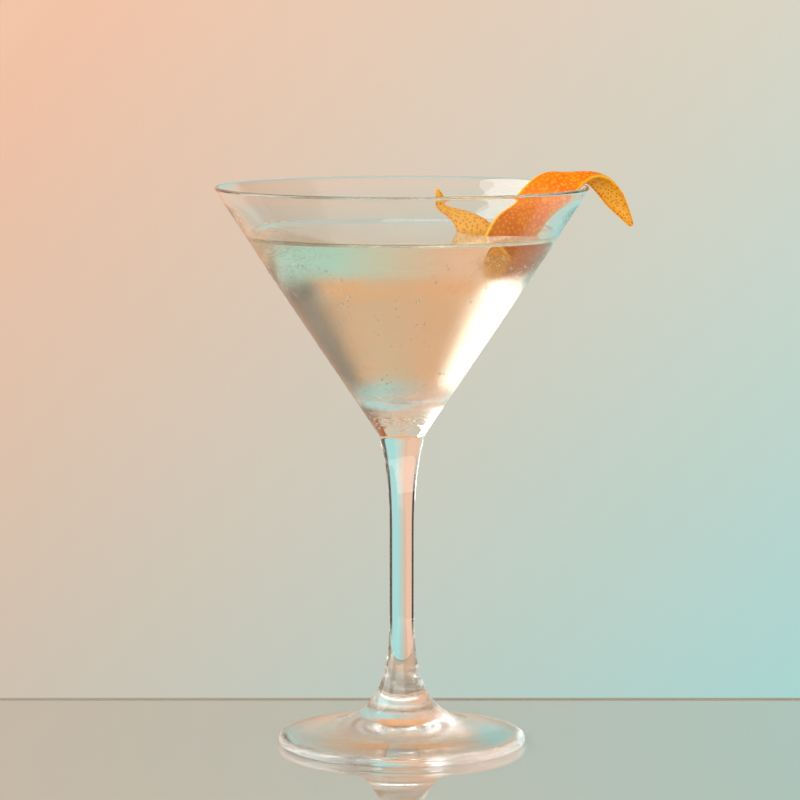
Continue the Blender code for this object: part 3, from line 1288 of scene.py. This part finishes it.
@dataclass(frozen=True)
class Studio:
    """A pale glossy table before a plain backdrop that two coloured lamps light, and one tall softbox."""

    peach: Wash = Wash("#FFCEB0", 0.480, -0.22, 0.49, 0.9)
    mint: Wash = Wash("#BCF5F1", 0.335, 0.22, -0.33, 0.8)
    overhead: str = "#F8AF72"
    overhead_from: tuple[float, float] = (19, 28)
    ceiling: str = "#7C6450"
    ceiling_from: tuple[float, float] = (50, 62)
    surround: str = "#D5CFC4"
    surround_beyond: tuple[float, float] = (44, 54)
    surround_below: tuple[float, float] = (-24, -34)
    dusk: str = "#352A1E"
    gaps: tuple[Gap, ...] = (Gap(37, 74, -16, 56), Gap(68, 98, 12, 58), Gap(-37, -58, -16, 4))
    table: str = "#D2CABD"
    table_band: str = "#A5A193"
    table_edge: float = 68.2 * MM
    table_near: float = -2.6
    table_half_width: float = 1.6
    table_thickness: float = 12 * MM
    table_drop: float = 0.05 * MM
    band_proud: float = 0.32 * MM
    band_thickness: float = 1.5 * MM
    camera_place: tuple[float, float, float] = (0.0, -1147.9 * MM, 242.42 * MM)
    camera_tilt: float = 6.649
    lens: float = 166.7
    shift: float = -0.0024
    tall: Softbox = Softbox("softbox_left", (-0.95, 0.05, 0.71), (0.0, 0.05, 0.71), (0.80, 1.38), 2.7)
    fill: Softbox = Softbox("fill_front", (-0.35, -1.35, 0.75), (0.0, 0.0, 0.12), (1.60, 1.00), 2.5)
    bounces: int = 96

    @staticmethod
    def block(name: str, x: Span, y: Span, z: Span, finish: bpy.types.Material) -> bpy.types.Object:
        """Make a plain box that belongs to the studio and not to the object.

        Args:
            name: Its name.
            x: Its ends along X.
            y: Its ends along Y.
            z: Its ends along Z.
            finish: Its material.

        Returns:
            The new object.
        """
        points = [(across, along, up) for across in x for along in y for up in z]
        faces = [(0, 1, 3, 2), (4, 6, 7, 5), (0, 4, 5, 1), (2, 3, 7, 6), (0, 2, 6, 4), (1, 5, 7, 3)]
        mesh = bpy.data.meshes.new(name)
        mesh.from_pydata(points, [], faces)
        mesh.materials.append(finish)
        made = bpy.data.objects.new(name, mesh)
        bpy.context.scene.collection.objects.link(made)
        return made

    def build_table(self) -> bpy.types.Object:
        """Lay the lacquered table, with its far edge behind the glass and a thin dark band along it."""
        lacquer = {
            "Base Color": linear(self.table),
            "Roughness": 0.012,
            "IOR": 2.1,
            "Coat Weight": 1.0,
            "Coat Roughness": 0.008,
        }
        # A plain darker band along the table's far edge.
        trim = {"Base Color": linear(self.table_band), "Roughness": 0.5}
        wide = (-self.table_half_width, self.table_half_width)
        table = self.block(
            "table",
            wide,
            (self.table_near, self.table_edge),
            (-self.table_thickness, -self.table_drop),
            new_finish("pale_lacquered_table", lacquer),
        )
        self.block(
            "table_band",
            wide,
            (self.table_edge, self.table_edge + self.band_thickness),
            (-self.band_thickness, self.band_proud),
            new_finish("dark_table_edge_band", trim),
        )
        return table

    def backdrop(
        self,
        tree: bpy.types.NodeTree,
        azimuth: bpy.types.NodeSocket,
        elevation: bpy.types.NodeSocket,
    ) -> bpy.types.NodeSocket:
        """Add up the two washes, which change evenly across and with the angle from eye level.

        Args:
            tree: The world's tree.
            azimuth: The direction's azimuth.
            elevation: Its elevation.

        Returns:
            The backdrop's colour.
        """
        from_level = add_node(tree, "ShaderNodeMath", {"operation": "ABSOLUTE"}, {0: elevation}).outputs[0]
        height = in_degrees(0, 12, 0.5, -0.5)
        height = add_node(tree, "ShaderNodeMapRange", height, {0: from_level}).outputs[0]
        across = in_degrees(-36, 36, -5.85, 5.85)
        across = add_node(tree, "ShaderNodeMapRange", across, {0: azimuth}).outputs[0]
        lit = []
        for wash in (self.peach, self.mint):
            sideways = {"operation": "MULTIPLY_ADD", 1: wash.to_right, 2: wash.middle}
            amount = add_node(tree, "ShaderNodeMath", sideways, {0: across}).outputs[0]
            upwards = {"operation": "MULTIPLY_ADD", 1: wash.upwards}
            amount = add_node(tree, "ShaderNodeMath", upwards, {0: height, 2: amount}).outputs[0]
            amount = add_node(tree, "ShaderNodeClamp", {"Max": wash.most}, {0: amount}).outputs[0]
            tint = {"operation": "SCALE", 0: linear(wash.colour)[:3]}
            lit.append(add_node(tree, "ShaderNodeVectorMath", tint, {"Scale": amount}).outputs[0])
        return add_node(tree, "ShaderNodeVectorMath", {"operation": "ADD"}, dict(enumerate(lit))).outputs[0]

    def build_world(self) -> None:
        """Light the surroundings: the backdrop, warmth above it, pale walls round it and dusk between."""
        world = bpy.data.worlds.new("studio")
        bpy.context.scene.world = world
        world.use_nodes = True
        tree = world.node_tree
        direction = add_node(tree, "ShaderNodeTexCoord").outputs["Generated"]
        parts = add_node(tree, "ShaderNodeSeparateXYZ", links={0: direction})
        level = {0: parts.outputs["X"], 1: parts.outputs["Y"]}
        azimuth = add_node(tree, "ShaderNodeMath", {"operation": "ARCTAN2"}, level).outputs[0]
        up = {0: parts.outputs["Z"]}
        elevation = add_node(tree, "ShaderNodeMath", {"operation": "ARCSINE"}, up).outputs[0]
        spread = add_node(tree, "ShaderNodeMath", {"operation": "ABSOLUTE"}, {0: azimuth}).outputs[0]
        edges = (
            (elevation, self.overhead_from),
            (elevation, self.ceiling_from),
            (spread, self.surround_beyond),
            (elevation, self.surround_below),
        )
        above, top, beyond, below = (
            add_node(tree, "ShaderNodeMapRange", in_degrees(*edge), {0: angle}).outputs[0]
            for angle, edge in edges
        )
        away = add_node(tree, "ShaderNodeMath", {"operation": "MAXIMUM"}, {0: beyond, 1: below}).outputs[0]
        layers = [(above, self.overhead), (top, self.ceiling), (away, self.surround)]
        layers += [(gap.share(tree, azimuth, elevation), self.dusk) for gap in self.gaps]
        colour = self.backdrop(tree, azimuth, elevation)
        for share, over in layers:
            settings = {"data_type": "RGBA", 7: linear(over)}
            colour = add_node(tree, "ShaderNodeMix", settings, {0: share, 6: colour}).outputs[2]
        tree.links.new(colour, tree.nodes["Background"].inputs["Color"])

    def build_lights(self, table: bpy.types.Object) -> None:
        """Stand the tall softbox on the left and hang a wide fill above the camera.

        Args:
            table: The table, which the tall softbox leaves out, so that its mirror image doesn't whiten it.
        """
        tall = self.tall.hang()
        self.fill.hang()
        left_out = bpy.data.collections.new("softbox_receivers")
        left_out.objects.link(table)
        left_out.collection_objects[0].light_linking.link_state = "EXCLUDE"
        tall.light_linking.receiver_collection = left_out

    def build_camera(self) -> None:
        """Stand the camera before the glass, looking slightly down on it."""
        lens = bpy.data.cameras.new("camera")
        lens.lens = self.lens
        lens.sensor_width = 36.0
        lens.shift_x = self.shift
        camera = bpy.data.objects.new("camera", lens)
        bpy.context.scene.collection.objects.link(camera)
        camera.location = self.camera_place
        camera.rotation_euler = (math.radians(90 - self.camera_tilt), 0.0, 0.0)
        bpy.context.scene.camera = camera

    def build(self) -> None:
        """Set up the table, surroundings, lights, camera and plain colour handling."""
        table = self.build_table()
        self.build_world()
        self.build_lights(table)
        self.build_camera()
        bpy.context.scene.view_settings.view_transform = "Standard"
        # Light that the wall and foot trap is mirrored inside them many times before it leaves.
        for limit in ("max_bounces", "glossy_bounces", "transmission_bounces"):
            setattr(bpy.context.scene.cycles, limit, self.bounces)


def main() -> None:
    """Build the drink in its glass, then the studio round it."""
    logging.basicConfig(level=logging.INFO, format="%(message)s")
    Studio().build()
    glass = CocktailGlass()
    bowl_mist = MistedGlass(
        name="misted_soda_lime_bowl",
        skin=GlassSkin.MISTED_BOWL,
        roughness=0.22,
        bead_height=0.012 * MM,
        edges=(106.5 * MM, 152.0 * MM),
        fades=(3.0 * MM, 2.6 * MM),
        lean=0.09,
    )
    foot_mist = MistedGlass(
        name="misted_soda_lime_foot",
        skin=GlassSkin.MISTED_FOOT,
        roughness=0.06,
        bead_height=0.010 * MM,
        edges=(7.0 * MM, 21.0 * MM),
        fades=(1.5 * MM, 7.0 * MM),
    )
    glass.build([ClearGlass().material(), bowl_mist.material(), foot_mist.material()])
    Drink().build(glass, PaleRum().material())
    OrangeTwist().build(OrangeRind().material(), PeelUnderside().material())
    Condensation().build(glass, Water().material())


if __name__ == "__main__":
    main()
